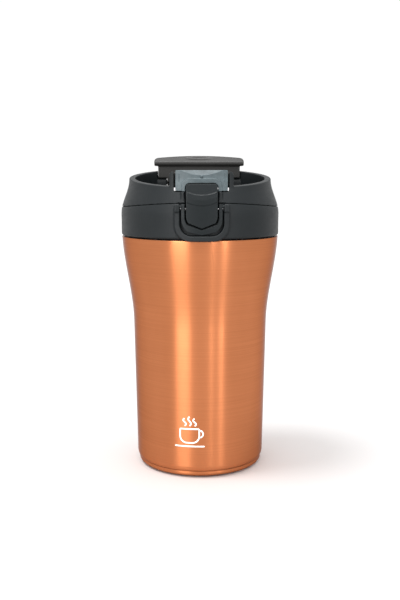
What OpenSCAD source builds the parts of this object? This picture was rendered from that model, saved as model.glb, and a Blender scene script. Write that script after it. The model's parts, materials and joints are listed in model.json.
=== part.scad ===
// Insulated travel tumbler: double-wall steel bottle with a screw-in lid.
// The lid has a flip cover over a drinking spout, a rocking push button that
// frees the cover, and a lock ring that swings up over the button.
// Origin: centre of the base where it stands. +Z is up, -Y is the button side.

/* [Bottle] */
// Radius of the steel body at the bottom
base_r = 36.8; // [35:0.2:38]
// Height of the steel body
body_h = 133; // [125:1:170]
// Outward lean of the straight part, radius per unit of height
body_taper = 0.02; // [0:0.005:0.02]
// Radius that the flare adds at the top
flare = 5.3; // [5:0.1:5.5]
// Height over which the flare grows
flare_len = 52; // [40:1:60]
// Sheet thickness of the outer steel wall
shell_t = 0.6; // [0.5:0.1:1]
// Sheet thickness of the inner steel wall
liner_t = 0.5; // [0.4:0.1:0.8]
// Vacuum gap between the two walls
vacuum_gap = 1.8; // [1.5:0.1:2.5]
// Inner radius of the drinking mouth
mouth_r = 39; // [38.9:0.05:39.1]
// Height of the groove between the body and its base cap
base_seam = 4.1; // [3.5:0.1:5]

/* [Lid] */
// Outer radius of the lid's collar
collar_r = 45; // [45:0.1:45.4]
// Radius of the lid's upper rim, outside
rim_r = 40.3; // [40:0.1:40.6]
// Radius of the well inside the rim
well_r = 36.8; // [36.6:0.1:37]
// Slope of the rim, low at the button and high at the hinge, in degrees
rim_slope = 7.3; // [6:0.1:8]
// Radius of the plug that screws into the mouth
plug_r = 38.3; // [37.9:0.1:38.3]
// Inner radius of the drinking spout
spout_r = 6.5; // [6.4:0.1:7]

/* [Cover and latch] */
// Half width of the front tongue
tongue_w = 13.8; // [13:0.1:13.9]
// Half width of the push button
button_w = 8.3; // [7.8:0.1:8.3]
// Half width of the rear lip of the cover
lip_w = 26.9; // [26:0.1:26.9]
// Radius of the steel hinge pin
hinge_pin_r = 1.2; // [1:0.1:1.4]

/* [Hidden] */
$fn = 96;
far = 200;                     // longer than any cut needs

// Bottle
flare_start = body_h - flare_len + 3;
step = 3;                      // height of one ring of the lathe outlines
liner_floor = 9;
pad_t = 1.2;
bottom_t = 0.8;
cap_r = base_r - 0.9;
pad_r = 31;
seam_inset = 0.7;              // the wall turns in by this at the base seam
stud_r = 2.3;                  // stud of the seal cap
mouth_step = 17;               // depth of the straight mouth
past = 1;                      // cuts run past a face by this

// Lid heights are measured from the collar's lower edge
lid_z = body_h + 0.6;
collar_t = 3.4;                // wall of the collar
seam_z = 19.3;                 // parting line between collar and rim, at the front
seam_sag_r = 320;              // the parting line dips to the sides on this radius
seam_gap = 0.2;
shoulder_z = 12.4;
shoulder_h = 19;
rim_mid = 32.4;                // rim height at the middle of its slope
well_floor = 8.1;
floor_t = 2.2;
wall_t = 1.6;
spout_y = -16;
spout_top = 16.3;
plug_bottom = -15.6;
groove_z = plug_bottom + 3;
groove_h = 3.6;

// Front notch, tongue and latch
notch_w = 14.65;
notch_z = 24.9;
ear_w = 17;
ear_top = 35.4;
tongue_bottom = 25.4;
tongue_top = 36.2;
tongue_r = 41.6;
arch_w = 8.75;
arch_top = 29.5;
button_top = 29.1;
button_tip = 5.8;
button_face = -45.6;
button_face_r = 70;
button_crease = 20.6;
button_lean = 15;
button_t = 2;
button_pin_r = 0.7;
button_pin_end = 11.3;
button_axis = [0, -41.3, 15.9];
pocket_floor = -39.3;
pocket_gap = 0.45;
ring_axis = [0, -44.2, 17.3];
ring_in = 44.5;                // radial reach of the lock ring
ring_out = 46.1;
ring_w = 10.9;
ring_bar = 1.8;
ring_bottom = 2.4;
ring_pin_r = 0.8;
frame_w = 14.5;
frame_bar = 2.8;
frame_bottom = -0.9;
frame_r = 46.6;
recess_r = 43.2;
running_gap = 0.06;
square_end = 0.01;             // corner radius where a panel's end is square
button_low_r = 6.5;            // lower corners and point of the button
button_rise = 0.4;
button_top_r = 1.5;
ring_low_r = 8.4;
ring_rise = 0.22;
ring_in_r = 6.9;
ring_in_rise = 0.36;
frame_low_r = 8.5;
ring_pin_end = 14;
boss_w = 12.8;                 // half width of the boss behind the button
boss_top = seam_z - 0.5;

// Hinge and rear of the cover
hinge = [0, 30, 29.6];
knuckle_r = 3.3;
rear_notch_w = 24.8;           // half width; the posts stand against its sides
post_in = 19.5;
post_out = rear_notch_w;
hinge_pin_end = 24;
rear_notch_z = 24.3;
riser_w = 24.6;
riser_z = 33.4;
riser_front = 26;
riser_back = 35;
lip_z = 41.5;
lip_top = 45.3;
lip_crown_r = 260;
lip_slope = 3.8;                // rise and run of the lip's sloping front
lip_corner = 1.9;
bridge_w = 16;
bridge_z = 29.9;
bridge_top = 34.9;
bridge_front = -38.4;
bridge_wall = 2;
hollow_front = -32;
hollow_len = 54;
spring_room = 7;               // half length of the gap in the knuckle
stem_r = 2.6;                  // stem of the spout's stopper

// Smooth step from 0 to 1
function ease(t) = let (c = min(max(t, 0), 1)) c * c * (3 - 2 * c);
function body_r(z) = base_r + body_taper * z + flare * ease((z - flare_start) / flare_len);
function liner_r(z) = min(mouth_r, body_r(z) - shell_t - vacuum_gap - liner_t);
function lid_r(z) = collar_r - (collar_r - rim_r) * ease((z - shoulder_z) / shoulder_h);
function arc(cx, cy, r, a0, a1, n = 6) =
    [for (i = [0 : n]) let (a = a0 + (a1 - a0) * i / n) [cx + r * cos(a), cy + r * sin(a)]];

module at_lid() translate([0, 0, lid_z]) children();

// A flat outline in X and Z, given depth along Y from y0 to y1
module upright(y0, y1) {
    translate([0, y1, 0]) rotate([90, 0, 0]) linear_extrude(y1 - y0) children();
}

// A bar along X
module bar_x(at, r, x0, x1) {
    translate([x0, at[1], at[2]]) rotate([0, 90, 0]) cylinder(r = r, h = x1 - x0, $fn = 48);
}

module tube(r0, r1, z0, z1) {
    difference() {
        translate([0, 0, z0]) cylinder(r = r1, h = z1 - z0);
        translate([0, 0, z0 - past]) cylinder(r = r0, h = z1 - z0 + 2 * past);
    }
}

// Panel with a rounded top, rounded lower corners and a blunt point at the bottom
module panel(w, top, bottom, r_low, rise, r_top = square_end) {
    intersection() {
        union() {
            translate([-w, bottom]) square([2 * w, top - r_top - bottom]);
            translate([-w + r_top, bottom]) square([2 * (w - r_top), top - bottom]);
            for (s = [-1, 1]) translate([s * (w - r_top), top - r_top]) circle(r_top, $fn = 48);
        }
        union() {
            translate([-w + r_low, bottom]) square([2 * (w - r_low), top - bottom]);
            translate([-w, bottom + r_low]) square([2 * w, top - bottom - r_low]);
            for (s = [-1, 1]) translate([s * (w - r_low), bottom + r_low]) circle(r_low, $fn = 64);
        }
        polygon([[0, bottom], [2 * w, bottom + 2 * w * rise], [2 * w, top + 1],
                 [-2 * w, top + 1], [-2 * w, bottom + 2 * w * rise]]);
    }
}

// Round wire swept along a coil that stands on its axis
module coil(r, wire, length, turns) {
    sides = 8;
    per_turn = 20;
    rings = turns * per_turn;
    pts = [for (i = [0 : rings]) let (a = 360 * i / per_turn)
           for (k = [0 : sides - 1]) let (b = 360 * k / sides, q = r + wire * cos(b))
           [q * cos(a), q * sin(a), wire + (length - 2 * wire) * i / rings + wire * sin(b)]];
    sides_f = [for (i = [0 : rings - 1], k = [0 : sides - 1]) let (n = (k + 1) % sides)
               [i * sides + k, i * sides + n, (i + 1) * sides + n, (i + 1) * sides + k]];
    ends = [[for (k = [sides - 1 : -1 : 0]) k],
            [for (k = [0 : sides - 1]) rings * sides + k]];
    polyhedron(pts, concat(sides_f, ends), convexity = 8);
}

// ---- Bottle ----

module outer_shell() {
    edge = 2.4;                // the wall turns in a little above the base seam
    top = concat([for (z = [base_seam + edge : step : body_h - 1]) [body_r(z), z]],
                 [[body_r(body_h), body_h]]);
    color("chocolate") rotate_extrude(convexity = 4) polygon(concat(
        [[body_r(base_seam) - seam_inset, base_seam],
         [body_r(base_seam) - seam_inset / 3, base_seam + edge / 2.5]],
        top,
        [for (i = [len(top) - 1 : -1 : 0]) [top[i][0] - shell_t, top[i][1]]],
        [[body_r(base_seam) - shell_t - seam_inset, base_seam]]));
}

module inner_liner() {
    corner = 6;
    z0 = liner_floor + corner;
    wall = concat([for (z = [z0 : step : body_h - mouth_step]) [liner_r(z), z]],
                  [[mouth_r, body_h - mouth_step + 1], [mouth_r, body_h]]);
    flange_r = body_r(body_h) - shell_t - 0.1;
    flange_t = 0.8;
    outside = [for (i = [len(wall) - 1 : -1 : 0]) wall[i] + [liner_t, 0]];
    color("silver") rotate_extrude(convexity = 4) polygon(concat(
        [[0, liner_floor]],
        arc(liner_r(z0) - corner, liner_floor + corner, corner, -90, 0),
        wall,
        [[flange_r, body_h], [flange_r, body_h - flange_t],
         [mouth_r + liner_t, body_h - flange_t]],
        [for (i = [1 : len(outside) - 1]) outside[i]],
        arc(liner_r(z0) - corner, liner_floor + corner, corner + liner_t, 0, -90),
        [[0, liner_floor - liner_t]]));
}

module outer_bottom() {
    round_r = 1.8;
    spigot_t = 0.8;
    spigot_top = 7.5;
    edge_z = pad_t - 0.4;
    ledge_z = base_seam - 0.35;
    spigot_r = cap_r - shell_t;
    inner_r = spigot_r - spigot_t;
    fillet = 1;
    difference() {
        color("chocolate") rotate_extrude(convexity = 4) polygon(concat(
            [[0, pad_t], [pad_r + 0.4, pad_t], [pad_r + 1, edge_z]],
            arc(cap_r - round_r, edge_z + round_r, round_r, -90, 0),
            [[cap_r, ledge_z], [spigot_r, ledge_z], [spigot_r, spigot_top], [inner_r, spigot_top],
             [inner_r, pad_t + bottom_t + fillet], [inner_r - fillet, pad_t + bottom_t],
             [0, pad_t + bottom_t]]));
        cylinder(r = stud_r + 0.1, h = 2 * spigot_top, $fn = 48);
    }
}

module vacuum_getter() {
    t = 0.8;
    color("dimgray") translate([16, 0, liner_floor - liner_t - t]) cylinder(r = 6, h = t, $fn = 48);
}

// Stud that closes the hole through which the gap was pumped out
module seal_cap() {
    head_r = 4.2;
    head_t = 1;
    color("gray") translate([0, 0, pad_t]) {
        cylinder(r = stud_r, h = bottom_t + head_t, $fn = 48);
        translate([0, 0, bottom_t]) cylinder(r = head_r, h = head_t, $fn = 48);
    }
}

module base_pad() {
    color("black") cylinder(r = pad_r, h = pad_t);
}

// ---- Lid ----

// Space under the curved parting line
module under_seam(gap = 0) {
    translate([0, far / 2, seam_z - gap - seam_sag_r]) rotate([90, 0, 0])
        cylinder(r = seam_sag_r, h = far, $fn = 360);
}

// Space that the button and its lever need
module button_pocket() {
    upright(-far / 4, pocket_floor)
        panel(button_w + pocket_gap, button_top + 3, button_tip - pocket_gap,
              button_low_r, button_rise, button_top_r);
}

// Recess inside the raised frame, where the lock ring hangs
module ring_recess(w, bottom, r_corner, top, r_in) {
    difference() {
        upright(-far / 4, -30) panel(w, top, bottom, r_corner, 0);
        translate([0, 0, -far / 2]) cylinder(r = r_in, h = far);
    }
}

module lid_collar() at_lid() color("dimgray") {
    chamfer = 0.8;
    boss_front = -43.4;
    boss_back = -38.6;
    frame_end = 16.5;
    lug_w = 2.8;
    lug_at = 13;
    lug_front = ring_axis[1] - 1.5;
    lug_depth = 3.4;
    lug_bottom = ring_axis[2] - 2.8;
    lug_h = 4.2;
    difference() {
        union() {
            intersection() {
                rotate_extrude(convexity = 4) polygon(concat(
                    [[collar_r - collar_t, 0], [collar_r - chamfer, 0], [collar_r, chamfer]],
                    [for (z = [shoulder_z : 1.4 : seam_z + 2]) [lid_r(z), z]],
                    [[collar_r - collar_t, seam_z + 2]]));
                under_seam(seam_gap);
            }
            // Boss behind the button
            intersection() {
                translate([-boss_w, boss_front, 0.6])
                    cube([2 * boss_w, boss_back - boss_front, boss_top - 0.6]);
                cylinder(r = collar_r - 0.5, h = far);
            }
            // Raised frame round the lock ring
            intersection() {
                upright(-far / 4, -30) difference() {
                    panel(frame_w, frame_end, frame_bottom, frame_low_r, 0);
                    panel(frame_w - frame_bar, frame_end + past, frame_bottom + frame_bar,
                          frame_low_r - 2, 0);
                }
                difference() {
                    translate([0, 0, frame_bottom - past]) cylinder(r = frame_r, h = 30);
                    // Clear of the steel body below the collar
                    translate([0, 0, -far]) cylinder(r = collar_r + 0.3, h = far);
                    cylinder(r = collar_r - 2, h = far);
                }
            }
            // Lugs that hold the lock ring's pins
            for (s = [-1, 1]) translate([s * lug_at - lug_w / 2, lug_front, lug_bottom])
                cube([lug_w, lug_depth, lug_h]);
        }
        button_pocket();
        ring_recess(frame_w - frame_bar, frame_bottom + frame_bar, frame_low_r - 2, 30, recess_r);
        bar_x(button_axis, button_pin_r, -button_pin_end - 0.1, button_pin_end + 0.1);
        bar_x(ring_axis, ring_pin_r + running_gap, -ring_pin_end - 0.1, ring_pin_end + 0.1);
    }
}

// The two posts that carry the hinge pin, with round tops
module posts(r, foot) {
    for (x = [-post_out, post_in]) {
        bar_x(hinge, r, x, x + post_out - post_in);
        translate([x, hinge[1] - r, foot]) cube([post_out - post_in, 2 * r, hinge[2] - foot]);
    }
}

module lid_rim() at_lid() {
    skirt_r = collar_r - collar_t - 0.3;
    skirt_in = well_r + wall_t + 0.2;
    skirt_bottom = 12;
    band_bottom = 18;              // of the solid ring above the skirt
    outline_z = 14;
    top = 60;
    ear_foot = 22;
    rib_at = 10;
    rib_w = 1.8;
    color("dimgray") difference() {
        union() {
            difference() {
                rotate_extrude(convexity = 4) polygon(concat(
                    [[well_r, band_bottom], [skirt_in, band_bottom],
                     [skirt_in, skirt_bottom], [skirt_r, skirt_bottom], [skirt_r, outline_z]],
                    [for (z = [outline_z : 1.4 : shoulder_z + shoulder_h]) [lid_r(z), z]],
                    [[rim_r, top], [well_r, top]]));
                // Above the sloping rim
                translate([0, 0, rim_mid]) rotate([rim_slope, 0, 0])
                    translate([-far / 2, -far / 2, 0]) cube([far, far, far]);
                // Below the parting line, outside the skirt
                intersection() {
                    under_seam();
                    tube(skirt_r, far / 2, 0, top);
                }
            }
            // Ears on both sides of the tongue
            intersection() {
                upright(-50, -30) difference() {
                    panel(ear_w, ear_top, ear_foot, 0.5, 0, 1.8);
                    translate([-notch_w, notch_z]) square([2 * notch_w, top]);
                }
                tube(well_r, rim_r + 0.7, ear_foot - past, top);
            }
            // Ribs beside the button
            intersection() {
                for (s = [-1, 1]) translate([s * rib_at - rib_w / 2, -50, seam_z + seam_gap])
                    cube([rib_w, 15, notch_z - seam_z - seam_gap]);
                tube(well_r + 2, recess_r, 10, top);
            }
            // Posts that carry the hinge pin
            intersection() {
                posts(knuckle_r, band_bottom);
                cylinder(r = well_r + 1.2, h = far);
            }
        }
        // Notch for the tongue
        translate([-notch_w, -50, notch_z]) cube([2 * notch_w, 25, 30]);
        button_pocket();
        // Room for the collar's boss behind the button
        difference() {
            translate([-boss_w - 0.4, -50, 0]) cube([2 * boss_w + 0.8, 20, boss_top + 0.1]);
            translate([0, 0, -past]) cylinder(r = skirt_in, h = 40);
        }
        // Notch for the rear of the cover, beside and between the posts
        difference() {
            translate([-rear_notch_w, 20, rear_notch_z]) cube([2 * rear_notch_w, 40, 40]);
            posts(knuckle_r, 0);
        }
        bar_x(hinge, hinge_pin_r, -hinge_pin_end, hinge_pin_end);
    }
}

module lid_well() at_lid() {
    color("black") difference() {
        union() {
            difference() {
                translate([0, 0, well_floor - floor_t]) cylinder(r = well_r + wall_t, h = 12.1);
                translate([0, 0, well_floor]) cylinder(r = well_r, h = 20);
            }
            translate([0, spout_y, well_floor - past])
                cylinder(r = spout_r + 2, h = spout_top - well_floor + past);
        }
        translate([0, spout_y, 0]) cylinder(r = spout_r, h = 2 * spout_top);
    }
}

module lid_plug() at_lid() {
    top = well_floor - floor_t;
    wall = 2;
    step_in = 1.6;                 // the wall is thicker round the groove
    edge = 1;
    groove_d = 1.7;
    thread_in = 0.5;
    thread_out = 0.35;
    thread_pitch = 3;
    color("black") difference() {
        union() {
            rotate_extrude(convexity = 6) polygon([
                [0, plug_bottom], [plug_r - edge, plug_bottom], [plug_r, plug_bottom + edge],
                [plug_r, groove_z], [plug_r - groove_d, groove_z],
                [plug_r - groove_d, groove_z + groove_h], [plug_r, groove_z + groove_h],
                [plug_r, top], [plug_r - wall, top],
                [plug_r - wall, groove_z + groove_h + 2],
                [plug_r - wall - step_in, groove_z + groove_h],
                [plug_r - wall - step_in, plug_bottom + floor_t], [0, plug_bottom + floor_t]]);
            // Ridges that stand for the screw thread
            for (i = [1 : 3]) translate([0, 0, groove_z + groove_h + thread_pitch * i])
                rotate_extrude() polygon([[plug_r - thread_in, -0.9], [plug_r + thread_out, -0.3],
                                          [plug_r + thread_out, 0.3], [plug_r - thread_in, 0.9]]);
            translate([0, spout_y, plug_bottom + edge])
                cylinder(r = spout_r + 1.8, h = top - plug_bottom - edge);
        }
        translate([0, spout_y, plug_bottom - past]) cylinder(r = spout_r, h = 40);
    }
}

module lid_gasket() at_lid() {
    h = 3;
    lip = 0.4;
    z = groove_z + (groove_h - h) / 2;
    // Two sealing lips, one above the other
    color("gainsboro") rotate_extrude(convexity = 4) polygon([
        [plug_r - 1.4, z], [plug_r, z], [plug_r + lip, z + 0.2 * h], [plug_r, z + 0.4 * h],
        [plug_r, z + 0.6 * h], [plug_r + lip, z + 0.8 * h], [plug_r, z + h], [plug_r - 1.4, z + h]]);
}

// ---- Cover ----

module flip_cover() at_lid() {
    knuckle_w = post_in - 0.3;
    lip_front = riser_front - 1.6;
    lip_edge = 2.2;
    lip_round = 0.9;               // lower front edge of the lip
    skirt_drop = 1.2;              // closes the gap over the posts
    lip_end = lip_top - 1.4;       // height of the lip at its two ends
    dimple_r = 2.1;
    dimple_arc = 80;               // radius of the dimple's outline along the lip
    dimple_len = 12;
    dimple_at = 2.3;               // up the slope
    dimple_out = 1.17;             // out from the slope
    color("dimgray") difference() {
        union() {
            // Bridge across the well
            intersection() {
                translate([0, 0, bridge_z]) cylinder(r = well_r - 0.6, h = bridge_top - bridge_z);
                translate([-bridge_w, -40, 0]) cube([2 * bridge_w, 40 + riser_front + 1, far]);
            }
            translate([-tongue_w + 0.2, bridge_front, bridge_z])
                cube([2 * (tongue_w - 0.2), 10, bridge_top - bridge_z]);
            // Rear knuckle and the web above it
            bar_x(hinge, knuckle_r, -knuckle_w, knuckle_w);
            translate([-knuckle_w, riser_front, hinge[2]])
                cube([2 * knuckle_w, hinge[1] + knuckle_r - riser_front, riser_z - hinge[2] + 1]);
            // Riser, with a skirt in front of the posts' tops
            translate([-riser_w, riser_front, riser_z])
                cube([2 * riser_w, riser_back - riser_front, lip_z - riser_z + 1]);
            difference() {
                translate([-riser_w, riser_front, riser_z - skirt_drop])
                    cube([2 * riser_w, 2.5, skirt_drop + past]);
                bar_x(hinge, knuckle_r + 0.25, -far, far);
            }
            // Lip with a sloping front and a crowned top
            intersection() {
                translate([-lip_w, 0, 0]) rotate([90, 0, 90]) linear_extrude(2 * lip_w) polygon([
                    [lip_front + lip_round, lip_z - lip_edge],
                    [lip_front, lip_z - lip_edge + lip_round], [lip_front, lip_z],
                    [lip_front + lip_slope, lip_z + lip_slope],
                    [riser_back, lip_top], [riser_back, lip_z - lip_edge]]);
                translate([0, far / 2, lip_top - lip_crown_r]) rotate([90, 0, 0])
                    cylinder(r = lip_crown_r, h = far, $fn = 360);
                upright(0, far) {
                    panel(lip_w, lip_end, lip_z - lip_edge, 0.4, 0, lip_corner);
                    translate([-lip_w + lip_corner, lip_z])
                        square([2 * (lip_w - lip_corner), lip_top - lip_z]);
                }
            }
        }
        // Hollow that the stopper holder closes
        translate([-bridge_w + bridge_wall, hollow_front, bridge_z - past])
            cube([2 * (bridge_w - bridge_wall), hollow_len, bridge_top - bridge_z - past]);
        // Thumb dimple in the lip
        translate([0, lip_front + dimple_at - dimple_out, lip_z + dimple_at + dimple_out])
            rotate([0, 90, 0]) rotate_extrude() intersection() {
                translate([dimple_r - dimple_arc, 0]) circle(dimple_arc, $fn = 360);
                translate([0, -dimple_len]) square([dimple_r, 2 * dimple_len]);
            }
        // Room for the spring and the pin
        bar_x(hinge, knuckle_r - 0.5, -spring_room, spring_room);
        translate([-spring_room, hinge[1] - 6, hinge[2] - 5]) cube([2 * spring_room, 6, 5]);
        bar_x(hinge, hinge_pin_r + running_gap, -hinge_pin_end, hinge_pin_end);
    }
}

module cover_tongue() at_lid() {
    arch_band = 1.9;
    band_out = 0.5;
    arch_r = 2.4;
    bevel_z = 33.4;
    bevel_lean = 30;
    root_t = 1.6;
    nose_bar = 9.4;                // half width of the bar that the nose holds
    detent_z = arch_top + 3.35;
    back_r = 39.4;
    color("slategray", 0.8) difference() {
        union() {
            intersection() {
                upright(-50, -30) panel(tongue_w, tongue_top, tongue_bottom, 0.4, 0, 0.6);
                tube(back_r, tongue_r, 20, 50);
            }
            intersection() {
                upright(-50, -30)
                    panel(arch_w + arch_band, arch_top + arch_band + 0.5, tongue_bottom - 0.2,
                          band_out, 0, arch_r + arch_band - band_out);
                tube(back_r + 1, tongue_r + band_out, 20, 50);
            }
            // Root that joins the bridge
            translate([-12, bridge_front - root_t, bridge_z + 0.6]) cube([24, root_t, 4]);
            // Detent for the raised lock ring
            translate([0, -tongue_r + 1, detent_z]) rotate([90, 0, 0])
                cylinder(r1 = 1.1, r2 = 0.35, h = 1.9, $fn = 48);
            // Bar that the button's nose holds
            translate([-nose_bar, bridge_front - root_t, tongue_bottom - 0.2])
                cube([2 * nose_bar, root_t, 1]);
        }
        // Button opening, in front of the bar
        upright(-50, bridge_front - root_t) panel(arch_w, arch_top, 0, band_out, 0, arch_r);
        upright(-50, -30) intersection() {
            panel(arch_w, arch_top, 0, band_out, 0, arch_r);
            translate([-notch_w, tongue_bottom + 0.8]) square([2 * notch_w, 20]);
        }
        // The bridge ends here
        translate([-notch_w, bridge_front, 0]) cube([2 * notch_w, 20, far]);
        // Sloping band along the top
        translate([0, -tongue_r - 0.05, bevel_z]) rotate([-bevel_lean, 0, 0])
            translate([-notch_w, -10, 0]) cube([2 * notch_w, 10, 12]);
    }
}

module stopper_holder() at_lid() {
    plate_t = 1.5;
    gap = 0.2;
    holder_r = 9.5;
    holder_wall = 1.8;
    holder_floor = 6;
    drop = bridge_z - spout_top - 1.6;
    color("black") difference() {
        union() {
            translate([-bridge_w + bridge_wall + gap, hollow_front + gap, bridge_z])
                cube([2 * (bridge_w - bridge_wall - gap), hollow_len - 2 * gap, plate_t]);
            translate([0, spout_y, bridge_z - drop]) cylinder(r = holder_r, h = drop + 1);
        }
        translate([0, spout_y, bridge_z - drop - past]) cylinder(r = stem_r, h = holder_floor, $fn = 48);
        translate([0, spout_y, bridge_z - drop + holder_floor])
            cylinder(r = holder_r - holder_wall, h = 20);
    }
}

module cover_stopper() at_lid() {
    seat = spout_top + 0.3;
    flange_t = 1.25;
    plug_h = 3.2;
    color("gainsboro") translate([0, spout_y, 0]) {
        translate([0, 0, seat - plug_h]) cylinder(r1 = spout_r - 1.6, r2 = spout_r - 0.3, h = plug_h);
        translate([0, 0, seat]) cylinder(r = spout_r + 2, h = flange_t);
        translate([0, 0, seat + flange_t]) cylinder(r = stem_r - 0.05, h = 4, $fn = 48);
    }
}

module cover_hinge_pin() at_lid() color("silver") bar_x(hinge, hinge_pin_r, -hinge_pin_end, hinge_pin_end);

module cover_spring() at_lid() {
    wire = 0.35;
    coil_r = 2.15;
    len = 6;
    color("silver") translate([-len / 2, hinge[1], hinge[2]]) rotate([0, 90, 0]) coil(coil_r, wire, len, 7);
}

// ---- Button and lock ring ----

// Everything behind the button's face, moved back by d
module behind_face(d) {
    translate([0, d, 0]) intersection() {
        translate([0, button_face + button_face_r, -10]) cylinder(r = button_face_r, h = 60, $fn = 180);
        translate([0, button_face, button_crease]) rotate([-button_lean, 0, 0])
            translate([-40, 0, -60]) cube([80, 60, 120]);
    }
}

module push_button() at_lid() {
    hub_r = 1.6;
    hub_w = button_w - 0.1;
    ridge = 0.5;
    ridge_out = 0.22;
    nose_w = 4;
    nose_t = 1.8;
    nose_z = 26.5;
    nose_reach = 2;
    nose_gap = 0.5;                // between the nose and the tongue's bar
    nose_end = bridge_front - 1.6 - nose_gap;
    color("dimgray") difference() {
        union() {
            intersection() {
                upright(-50, -38)
                    panel(button_w, button_top, button_tip, button_low_r, button_rise, button_top_r);
                difference() {
                    behind_face(0);
                    behind_face(button_t);
                }
            }
            // Fine ridge along the crease
            intersection() {
                upright(-50, -38) panel(button_w - 0.6, button_top, button_tip, button_low_r, button_rise);
                translate([0, button_face + button_face_r, 0])
                    tube(button_face_r - ridge, button_face_r + ridge_out, 0, button_top);
                translate([0, button_face, button_crease]) rotate([-button_lean, 0, 0])
                    translate([-far / 2, -ridge_out, -far / 2]) cube([far, ridge + ridge_out, far]);
            }
            bar_x(button_axis, hub_r, -hub_w, hub_w);
            intersection() {
                translate([-hub_w, button_face + 1, button_axis[2] - hub_r])
                    cube([2 * hub_w, button_axis[1] - button_face - 1, 2 * hub_r]);
                behind_face(0.5);
            }
            // Nose that holds the tongue
            translate([-nose_w, nose_end - nose_reach, nose_z]) cube([2 * nose_w, nose_reach, nose_t]);
        }
        bar_x(button_axis, button_pin_r + running_gap, -20, 20);
    }
}

module button_pin() at_lid() color("silver")
    bar_x(button_axis, button_pin_r, -button_pin_end, button_pin_end);

module button_spring() at_lid() {
    foot_z = 9.5;
    color("silver") translate([0, pocket_floor, foot_z]) rotate([90, 0, 0]) coil(1.8, 0.25, 3.3, 4);
}

module lock_ring() at_lid() color("dimgray") {
    end_r = 1.5;
    inner_w = ring_w - ring_bar;
    intersection() {
        upright(-50, -40) difference() {
            union() {
                panel(ring_w, ring_axis[2], ring_bottom, ring_low_r, ring_rise);
                for (s = [-1, 1]) translate([s * (ring_w + inner_w) / 2, ring_axis[2]])
                    intersection() {
                        circle(end_r, $fn = 48);
                        square([ring_bar, 4], center = true);
                    }
            }
            panel(inner_w, ring_axis[2] + 5, ring_bottom + 2.6, ring_in_r, ring_in_rise);
        }
        tube(ring_in, ring_out, -2, 40);
    }
    pin_start = inner_w + 0.3;
    bar_x(ring_axis, ring_pin_r, -ring_pin_end, -pin_start);
    bar_x(ring_axis, ring_pin_r, pin_start, ring_pin_end);
}

outer_shell();
inner_liner();
outer_bottom();
vacuum_getter();
seal_cap();
base_pad();
lid_collar();
lid_rim();
lid_well();
lid_plug();
lid_gasket();
flip_cover();
cover_tongue();
stopper_holder();
cover_stopper();
cover_hinge_pin();
cover_spring();
push_button();
button_pin();
button_spring();
lock_ring();
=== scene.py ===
import json
import math

import bmesh
import bpy
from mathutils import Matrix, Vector


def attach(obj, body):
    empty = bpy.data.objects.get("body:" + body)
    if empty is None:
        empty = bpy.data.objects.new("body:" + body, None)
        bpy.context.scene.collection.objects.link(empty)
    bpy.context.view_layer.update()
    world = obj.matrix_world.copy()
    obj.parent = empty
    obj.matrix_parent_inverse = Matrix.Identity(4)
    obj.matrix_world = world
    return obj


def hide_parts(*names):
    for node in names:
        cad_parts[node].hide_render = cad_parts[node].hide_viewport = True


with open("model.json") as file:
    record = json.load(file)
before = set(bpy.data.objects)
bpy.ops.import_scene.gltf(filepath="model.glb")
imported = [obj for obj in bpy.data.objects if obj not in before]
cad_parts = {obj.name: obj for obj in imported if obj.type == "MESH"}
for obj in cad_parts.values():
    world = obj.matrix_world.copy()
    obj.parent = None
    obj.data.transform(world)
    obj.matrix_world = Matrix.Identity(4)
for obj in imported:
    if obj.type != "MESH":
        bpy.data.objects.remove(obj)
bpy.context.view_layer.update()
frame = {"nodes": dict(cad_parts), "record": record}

NODES = frame["nodes"]
SLOTS = {part["node"]: part["material_slot"] for part in frame["record"]["subparts"]}
BODIES = {node: body for body, nodes in frame["record"]["behaviour"]["bodies"].items()
          for node in nodes}
MM = 0.001


# ---- Camera, light and floor ----

CAMERA_DISTANCE = 0.4727       # from the tumbler's axis
CAMERA_HEIGHT = 0.1658
CAMERA_PITCH = 8.5             # degrees below level
CAMERA_AZIMUTH = 1.25          # degrees round to the left of the button
CAMERA_LENS = 49.04            # mm on the frame
CAMERA_FRAME = 36              # mm

WORLD_STRENGTH = 1.02
STRIP = {"distance": 1.2, "height": 0.35, "target_z": 0.1, "tall": 1.2}
SUN_POWER = 1.05
SUN_SPREAD = 18                # degrees, for the soft edge of the shadow
SUN_AZIMUTH = -78              # degrees round from the front, so the shadow falls to the right
SUN_LIFT = 68                  # degrees above level
FLOOR_HALF = 3                 # half side of the floor, m
FLOOR_TONE = 0.88

LAMPS = []


def make_camera():
    data = bpy.data.cameras.new("camera")
    data.sensor_width = CAMERA_FRAME
    data.sensor_fit = "AUTO"
    data.lens = CAMERA_LENS
    data.clip_start = 0.01
    camera = bpy.data.objects.new("camera", data)
    bpy.context.scene.collection.objects.link(camera)
    turn = math.radians(CAMERA_AZIMUTH)
    camera.location = (-CAMERA_DISTANCE * math.sin(turn),
                       -CAMERA_DISTANCE * math.cos(turn), CAMERA_HEIGHT)
    camera.rotation_euler = (math.radians(90 - CAMERA_PITCH), 0, -turn)
    bpy.context.scene.camera = camera


def make_area(name, azimuth, distance, height, target_z, width, tall, power):
    """A rectangular lamp, aimed at a point of the tumbler's axis.

    The azimuth is in degrees round from the front, positive to the right, the rest in metres."""
    data = bpy.data.lights.new(name, "AREA")
    data.shape = "RECTANGLE"
    data.size = width
    data.size_y = tall
    data.energy = power
    light = bpy.data.objects.new(name, data)
    bpy.context.scene.collection.objects.link(light)
    turn = math.radians(azimuth)
    light.location = (distance * math.sin(turn), -distance * math.cos(turn), height)
    aim = Vector((0, 0, target_z)) - light.location
    light.rotation_euler = aim.to_track_quat("-Z", "Y").to_euler()
    LAMPS.append(light)


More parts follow.
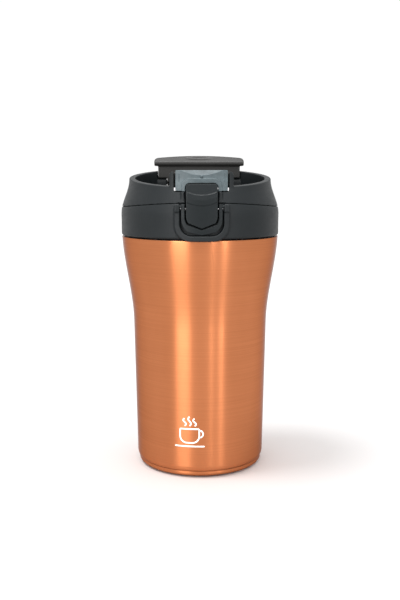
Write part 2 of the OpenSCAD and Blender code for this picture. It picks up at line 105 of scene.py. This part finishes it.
def make_light():
    world = bpy.data.worlds.new("studio")
    bpy.context.scene.world = world
    world.use_nodes = True
    bpy.context.scene.view_settings.view_transform = "Standard"
    backdrop = world.node_tree.nodes["Background"]
    backdrop.inputs["Color"].default_value = (1, 1, 1, 1)
    backdrop.inputs["Strength"].default_value = WORLD_STRENGTH
    make_area("strip_left", -30, width=0.5, power=14, **STRIP)
    make_area("strip_right", 18, width=0.04, power=2.2, **STRIP)
    make_area("strip_far_right", 35, width=0.09, power=4, **STRIP)
    make_area("overhead", -12, distance=0.22, height=0.95, target_z=0.14,
              width=0.5, tall=0.5, power=11)


def make_floor_shadow(floor):
    """A soft sun that reaches the floor alone, and lamps that reach everything else."""
    data = bpy.data.lights.new("floor_sun", "SUN")
    data.energy = SUN_POWER
    data.angle = math.radians(SUN_SPREAD)
    sun = bpy.data.objects.new("floor_sun", data)
    bpy.context.scene.collection.objects.link(sun)
    side, lift = math.radians(SUN_AZIMUTH), math.radians(SUN_LIFT)
    towards = Vector((math.sin(side) * math.cos(lift), -math.cos(side) * math.cos(lift),
                      math.sin(lift)))
    sun.rotation_euler = towards.to_track_quat("Z", "Y").to_euler()
    lit = bpy.data.collections.new("floor_only")
    lit.objects.link(floor)
    sun.light_linking.receiver_collection = lit
    for lamp in LAMPS:
        rest = bpy.data.collections.new(lamp.name + "_not_floor")
        rest.objects.link(floor)
        rest.collection_objects[0].light_linking.link_state = "EXCLUDE"
        lamp.light_linking.receiver_collection = rest


def make_floor():
    mesh = bpy.data.meshes.new("floor")
    corners = [(-FLOOR_HALF, -FLOOR_HALF, 0), (FLOOR_HALF, -FLOOR_HALF, 0),
               (FLOOR_HALF, FLOOR_HALF, 0), (-FLOOR_HALF, FLOOR_HALF, 0)]
    mesh.from_pydata(corners, [], [(0, 1, 2, 3)])
    floor = bpy.data.objects.new("floor", mesh)
    bpy.context.scene.collection.objects.link(floor)
    look = Look("floor_paper")
    look.set({"Base Color": (FLOOR_TONE, FLOOR_TONE, FLOOR_TONE, 1), "Roughness": 0.9})
    floor.data.materials.append(look.material)
    make_floor_shadow(floor)


# ---- Materials ----

class Look:
    """A material on one Principled shader, with short ways to add nodes."""

    def __init__(self, name):
        self.material = bpy.data.materials.new(name)
        self.material.use_nodes = True
        self.tree = self.material.node_tree
        self.shader = self.tree.nodes["Principled BSDF"]

    def set(self, values):
        for socket, value in values.items():
            self.shader.inputs[socket].default_value = value

    def node(self, kind, settings=None, inputs=None):
        made = self.tree.nodes.new("ShaderNode" + kind)
        for name, value in (settings or {}).items():
            setattr(made, name, value)
        for name, value in (inputs or {}).items():
            if isinstance(value, bpy.types.NodeSocket):
                self.tree.links.new(value, made.inputs[name])
            else:
                made.inputs[name].default_value = value
        return made

    def feed(self, socket, output):
        self.tree.links.new(output, self.shader.inputs[socket])

    def place(self, scale=(1, 1, 1)):
        """Object coordinates in metres, stretched by scale."""
        coords = self.node("TexCoord")
        return self.node("Mapping", inputs={"Vector": coords.outputs["Object"],
                                            "Scale": scale}).outputs["Vector"]

    def noise(self, vector, scale, detail=3.0, rough=0.5):
        return self.node("TexNoise", inputs={"Vector": vector, "Scale": scale, "Detail": detail,
                                             "Roughness": rough}).outputs["Fac"]

    def spread(self, value, low, high, from_low=0.3, from_high=0.7):
        """value, a noise, stretched to run from low to high."""
        made = self.node("MapRange", inputs={"Value": value, "From Min": from_low,
                                             "From Max": from_high, "To Min": low,
                                             "To Max": high})
        return made.outputs["Result"]

    def mix(self, amount, first, second):
        made = self.node("Mix", {"data_type": "RGBA"})
        self.tree.links.new(amount, made.inputs[0])
        for socket, value in ((6, first), (7, second)):
            if isinstance(value, bpy.types.NodeSocket):
                self.tree.links.new(value, made.inputs[socket])
            else:
                made.inputs[socket].default_value = (*value, 1)
        return made.outputs[2]

    def bump(self, height, strength, distance):
        made = self.node("Bump", inputs={"Height": height, "Strength": strength,
                                         "Distance": distance})
        self.feed("Normal", made.outputs["Normal"])


def moulded(name, dark, light, rough_low, rough_high, grain=0.12):
    """Injection-moulded plastic: fine spark-eroded grain and faint handling marks."""
    look = Look(name)
    place = look.place()
    cloud = look.noise(place, 55, 4)
    look.feed("Base Color", look.mix(look.spread(cloud, 0, 1), dark, light))
    fine = look.noise(place, 2600, 2)
    marks = look.noise(look.place((1, 1, 3)), 160, 5, 0.6)
    both = look.node("Math", {"operation": "MULTIPLY_ADD"},
                     {0: fine, 1: 0.35, 2: marks}).outputs["Value"]
    look.feed("Roughness", look.spread(both, rough_low, rough_high, 0.4, 0.95))
    look.set({"Specular IOR Level": 0.2})
    look.bump(fine, grain, 0.04 * MM)
    return look


def brushed_copper():
    """Copper-coloured coat over brushed steel, with a clear layer on top."""
    look = Look("copper_coat")
    lines = look.noise(look.place((14, 14, 2100)), 1, 5, 0.65)
    cloud = look.noise(look.place((1, 1, 0.35)), 30, 3)
    deep, bright, groove = (0.5, 0.173, 0.068), (0.56, 0.198, 0.083), (0.36, 0.112, 0.042)
    tone = look.mix(look.spread(cloud, 0, 1), deep, bright)
    look.feed("Base Color", look.mix(look.spread(lines, 0, 0.27), tone, groove))
    look.feed("Roughness", look.spread(lines, 0.28, 0.38))
    look.set({"Metallic": 1.0, "Anisotropic": 0.88, "Anisotropic Rotation": 0.25,
              "Specular Tint": (0.5, 0.45, 0.45, 1),
              "Coat Weight": 0.1, "Coat Roughness": 0.15, "Coat IOR": 1.4})
    tangent = look.node("Tangent", {"direction_type": "RADIAL", "axis": "Z"})
    look.feed("Tangent", tangent.outputs["Tangent"])
    look.bump(lines, 0.012, 0.01 * MM)
    return look


def bare_steel(name, tone, rough_low, rough_high):
    """Uncoated steel with fine lines round it and a faint darker stain."""
    look = Look(name)
    lines = look.noise(look.place((25, 25, 3000)), 1, 4, 0.6)
    stain = look.noise(look.place(), 70, 4)
    darker = tuple(0.8 * part for part in tone)
    look.feed("Base Color", look.mix(look.spread(stain, 0, 1), darker, tone))
    look.feed("Roughness", look.spread(lines, rough_low, rough_high))
    look.set({"Metallic": 1.0})
    look.bump(lines, 0.08, 0.01 * MM)
    return look


def smoke_plastic():
    """Translucent grey of the cover's front: milky inside, satin outside."""
    look = Look("smoke_plastic")
    cloud = look.noise(look.place((1, 1, 1.6)), 120, 3)
    deep, milky = (0.038, 0.051, 0.056), (0.07, 0.092, 0.1)
    look.feed("Base Color", look.mix(look.spread(cloud, 0, 1), deep, milky))
    look.feed("Roughness", look.spread(look.noise(look.place(), 700, 3), 0.34, 0.44))
    look.set({"Subsurface Weight": 0.1, "Subsurface Radius": (1.2, 1.3, 1.4),
              "Subsurface Scale": MM, "Specular IOR Level": 0.3, "IOR": 1.5})
    look.bump(look.noise(look.place(), 350, 2), 0.02, 0.02 * MM)
    return look


def rubber(name, dark, light, rough_low, rough_high):
    """Silicone with a fine matt skin."""
    look = Look(name)
    place = look.place()
    look.feed("Base Color", look.mix(look.spread(look.noise(place, 60, 4), 0, 1), dark, light))
    look.feed("Roughness", look.spread(look.noise(place, 900, 3), rough_low, rough_high))
    look.set({"Specular IOR Level": 0.35})
    look.bump(look.noise(place, 1800, 2), 0.2, 0.05 * MM)
    return look


def white_print():
    """White ink with small specks of uneven cover."""
    look = Look("white_print")
    speck = look.noise(look.place(), 1500, 3)
    thin, full = (0.82, 0.82, 0.8), (0.9, 0.9, 0.89)
    look.feed("Base Color", look.mix(look.spread(speck, 0, 1), thin, full))
    look.feed("Roughness", look.spread(speck, 0.4, 0.55))
    return look


def make_looks():
    """One look for each material slot of the record, and one more for the cover."""
    clear = rubber("clear_silicone", (0.5, 0.5, 0.49), (0.62, 0.62, 0.6), 0.35, 0.5)
    clear.set({"Subsurface Weight": 0.3, "Subsurface Scale": MM})
    return {
        "copper_coat": brushed_copper(),
        "steel": bare_steel("steel", (0.62, 0.62, 0.61), 0.2, 0.34),
        "dull_steel": bare_steel("dull_steel", (0.36, 0.35, 0.34), 0.42, 0.6),
        "pin_steel": bare_steel("pin_steel", (0.2, 0.2, 0.205), 0.3, 0.42),
        "dark_silicone": rubber("dark_silicone", (0.012, 0.012, 0.013), (0.022, 0.022, 0.023),
                                0.6, 0.8),
        "clear_silicone": clear,
        "black_plastic": moulded("black_plastic", (0.006, 0.0078, 0.0088),
                                 (0.0085, 0.0105, 0.0115), 0.42, 0.54),
        "cover_plastic": moulded("cover_plastic", (0.0172, 0.0168, 0.0162),
                                 (0.0225, 0.022, 0.0212), 0.34, 0.44),
        "well_plastic": moulded("well_plastic", (0.012, 0.012, 0.0125),
                                (0.016, 0.016, 0.0165), 0.45, 0.6),
        "button_plastic": moulded("button_plastic", (0.0022, 0.0042, 0.0050),
                                  (0.0036, 0.0058, 0.0068), 0.36, 0.46, 0.06),
        "smoke_plastic": smoke_plastic(),
        "white_print": white_print(),
    }


# ---- Pieces ----

WALL = 0.6 * MM                # sheet of the outer wall
FOOT_RINGS = 3                 # rings of the wall that form its rounded foot
FOOT_STEPS = 6                 # steps of the lathe between two rings of the foot
RING_DIGITS = 5                # decimals of a ring's height, m
WELD = 1e-6                    # distance at which points are joined, m


def join_frame(piece, node, look=None):
    """Lets a piece stand for a CAD node: same body, the node hidden, and the slot's look or its
    own.
    """
    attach(piece, BODIES[node])
    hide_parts(node)
    piece.data.materials.clear()
    piece.data.materials.append(LOOKS[look or SLOTS[node]].material)


def new_piece(name, mesh):
    piece = bpy.data.objects.new(name, mesh)
    bpy.context.scene.collection.objects.link(piece)
    return piece


def apply_modifiers(piece):
    graph = bpy.context.evaluated_depsgraph_get()
    mesh = bpy.data.meshes.new_from_object(piece.evaluated_get(graph))
    piece.modifiers.clear()
    piece.data = mesh
    for polygon in mesh.polygons:
        polygon.use_smooth = True


def softened(name, node, voxel, rounds, look=None):
    """The CAD node's shape with moulded, rounded edges: voxel in mm, rounds of smoothing."""
    piece = new_piece(name, NODES[node].data.copy())
    remesh = piece.modifiers.new("remesh", "REMESH")
    remesh.mode = "VOXEL"
    remesh.voxel_size = voxel * MM
    smooth = piece.modifiers.new("smooth", "SMOOTH")
    smooth.factor = 0.5
    smooth.iterations = rounds
    apply_modifiers(piece)
    join_frame(piece, node, look)


def rings(node):
    """(outer radius, height) of each ring of a turned CAD node, from the bottom up."""
    widest = {}
    for vertex in NODES[node].data.vertices:
        height = round(vertex.co.z, RING_DIGITS)
        radius = math.hypot(vertex.co.x, vertex.co.y)
        widest[height] = max(radius, widest.get(height, 0))
    return [(radius, height) for height, radius in sorted(widest.items())]


def curved(points, steps=4):
    """A smooth Catmull-Rom line through the points."""
    line = []
    for i in range(len(points) - 1):
        a, b, c, d = (points[max(0, min(len(points) - 1, i + k))] for k in (-1, 0, 1, 2))
        for step in range(steps):
            t = step / steps
            line.append(tuple(
                0.5 * (2 * b[k] + (c[k] - a[k]) * t
                       + (2 * a[k] - 5 * b[k] + 4 * c[k] - d[k]) * t * t
                       + (3 * b[k] - a[k] - 3 * c[k] + d[k]) * t ** 3)
                for k in (0, 1)))
    return line + [points[-1]]


def turned(name, outline, segments=256):
    """A lathe of a closed outline of (radius, height) points."""
    mesh = bmesh.new()
    loops = []
    for segment in range(segments):
        turn = 2 * math.pi * segment / segments
        loops.append([mesh.verts.new((r * math.cos(turn), r * math.sin(turn), z))
                      for r, z in outline])
    count = len(outline)
    for segment in range(segments):
        here, there = loops[segment], loops[(segment + 1) % segments]
        for i in range(count):
            j = (i + 1) % count
            mesh.faces.new((here[i], there[i], there[j], here[j]))
    bmesh.ops.remove_doubles(mesh, verts=mesh.verts, dist=WELD)
    bmesh.ops.recalc_face_normals(mesh, faces=mesh.faces)
    data = bpy.data.meshes.new(name)
    mesh.to_mesh(data)
    mesh.free()
    for polygon in data.polygons:
        polygon.use_smooth = True
    return new_piece(name, data)


def make_body():
    """The steel body: a fine lathe through the rings of the CAD wall, closer at the foot."""
    points = rings("outer_shell")
    foot, wall = points[:FOOT_RINGS], points[FOOT_RINGS - 1:]
    outside = curved(foot, FOOT_STEPS)[:-1] + curved(wall)
    inside = [(r - WALL, z) for r, z in reversed(points)]
    body = turned("steel_body", outside + inside)
    join_frame(body, "outer_shell")


# ---- Printed mark: a steaming cup ----

PRINT_LIFT = 0.03 * MM         # gap that keeps the print off the coat
PRINT_STROKE = 0.42            # half width of a line, mm
PRINT_TIP = 0.05               # mm, so that a line's very end keeps some width
PRINT_STEP = 0.2               # distance between points along a line, mm
PRINT_AT = (-6.6, 20.4)        # middle and foot of the cup on the wall, mm
PRINT_THICK = 0.04 * MM

# The drawing's own sizes, mm: u to the right and v up from the cup's middle and foot
CUP_HALF = 5.4
CUP_TOP = 8.2
CUP_CORNER = 4                 # radius of the lower corners
CORNER_V = 4.2
HANDLE_V = 5.4
HANDLE_RADIUS = 2.1
SAUCER_HALF = 8.4
SAUCER_V = -1.8
STEAM_FOOT = 9.9
STEAM_APART = 2.8
STEAM_SIDE = 4.4               # height of the outer wisps
STEAM_MIDDLE = 5.4


def arc(centre, radius, start, end, count=24):
    """Points of an arc, with angles in degrees from +u towards +v."""
    points = []
    for i in range(count + 1):
        turn = math.radians(start + (end - start) * i / count)
        points.append((centre[0] + radius * math.cos(turn), centre[1] + radius * math.sin(turn)))
    return points


def steam(u, height, sway=0.8, count=30):
    """A wisp that sways once to each side."""
    return [(u + sway * math.sin(2 * math.pi * i / count), STEAM_FOOT + height * i / count)
            for i in range(count + 1)]


def evenly(points):
    """The same line with points PRINT_STEP apart."""
    line = [points[0]]
    for a, b in zip(points, points[1:]):
        length = math.dist(a, b)
        count = max(1, round(length / PRINT_STEP))
        for i in range(1, count + 1):
            line.append((a[0] + (b[0] - a[0]) * i / count, a[1] + (b[1] - a[1]) * i / count))
    return line


def wall_radius(height, points):
    """Radius of the outer wall at a height, between the rings of points."""
    for (r0, z0), (r1, z1) in zip(points, points[1:]):
        if z0 <= height <= z1:
            return r0 + (r1 - r0) * (height - z0) / (z1 - z0)
    return points[-1][0]


def mark_lines():
    """The lines of the drawing: cup, its edge, handle, saucer and three wisps of steam."""
    inset = CUP_HALF - CUP_CORNER
    cup = ([(-CUP_HALF, CUP_TOP), (-CUP_HALF, CORNER_V)]
           + arc((-inset, CORNER_V), CUP_CORNER, 180, 270)
           + arc((inset, CORNER_V), CUP_CORNER, 270, 360) + [(CUP_HALF, CUP_TOP)])
    return [cup, [(-CUP_HALF, CUP_TOP), (CUP_HALF, CUP_TOP)],
            arc((CUP_HALF, HANDLE_V), HANDLE_RADIUS, 80, -80),
            [(-SAUCER_HALF, SAUCER_V), (SAUCER_HALF, SAUCER_V)],
            steam(-STEAM_APART, STEAM_SIDE), steam(0, STEAM_MIDDLE),
            steam(STEAM_APART, STEAM_SIDE)]


def half_stroke(along, length):
    """Half width of a line at a distance along it, mm: its ends are round."""
    end = min(along, length - along)
    past = max(0.0, 1 - (end + PRINT_TIP) / PRINT_STROKE)
    return PRINT_STROKE * math.sqrt(1 - past * past)


def print_line(mesh, points, wall):
    """A band along the points, wrapped on the wall."""
    line = evenly(points)
    length = (len(line) - 1) * PRINT_STEP
    before = None
    for i, (u, v) in enumerate(line):
        a, b = line[max(0, i - 1)], line[min(len(line) - 1, i + 1)]
        run, rise = b[0] - a[0], b[1] - a[1]
        size = math.hypot(run, rise)
        half = half_stroke(i * PRINT_STEP, length)
        row = []
        for side in (-1, 1):
            x = (PRINT_AT[0] + u - side * half * rise / size) * MM
            z = (PRINT_AT[1] + v + side * half * run / size) * MM
            radius = wall_radius(z, wall) + PRINT_LIFT
            turn = x / radius
            row.append(mesh.verts.new((radius * math.sin(turn), -radius * math.cos(turn), z)))
        if before:
            mesh.faces.new((before[0], row[0], row[1], before[1]))
        before = row


def make_mark():
    """Thin white print wrapped on the front of the wall."""
    wall = rings("outer_shell")
    mesh = bmesh.new()
    for points in mark_lines():
        print_line(mesh, points, wall)
    bmesh.ops.recalc_face_normals(mesh, faces=mesh.faces)
    data = bpy.data.meshes.new("mark")
    mesh.to_mesh(data)
    mesh.free()
    mark = new_piece("printed_cup_mark", data)
    skin = mark.modifiers.new("skin", "SOLIDIFY")
    skin.thickness = PRINT_THICK
    skin.offset = 0
    apply_modifiers(mark)
    mark.data.materials.append(LOOKS["white_print"].material)
    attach(mark, "bottle")


def carry_over():
    """Gives every CAD node the look of its slot, those that a piece replaces too."""
    for node, slot in SLOTS.items():
        data = NODES[node].data
        data.materials.clear()
        data.materials.append(LOOKS[slot].material)


make_camera()
make_light()
make_floor()
LOOKS = make_looks()
carry_over()
make_body()
make_mark()
softened("collar_shell", "lid_collar", 0.32, 4)
softened("rim_shell", "lid_rim", 0.32, 6)
softened("cover_shell", "flip_cover", 0.3, 6, "cover_plastic")
softened("tongue_shell", "cover_tongue", 0.13, 3)
softened("button_shell", "push_button", 0.14, 8)
softened("ring_shell", "lock_ring", 0.13, 4)
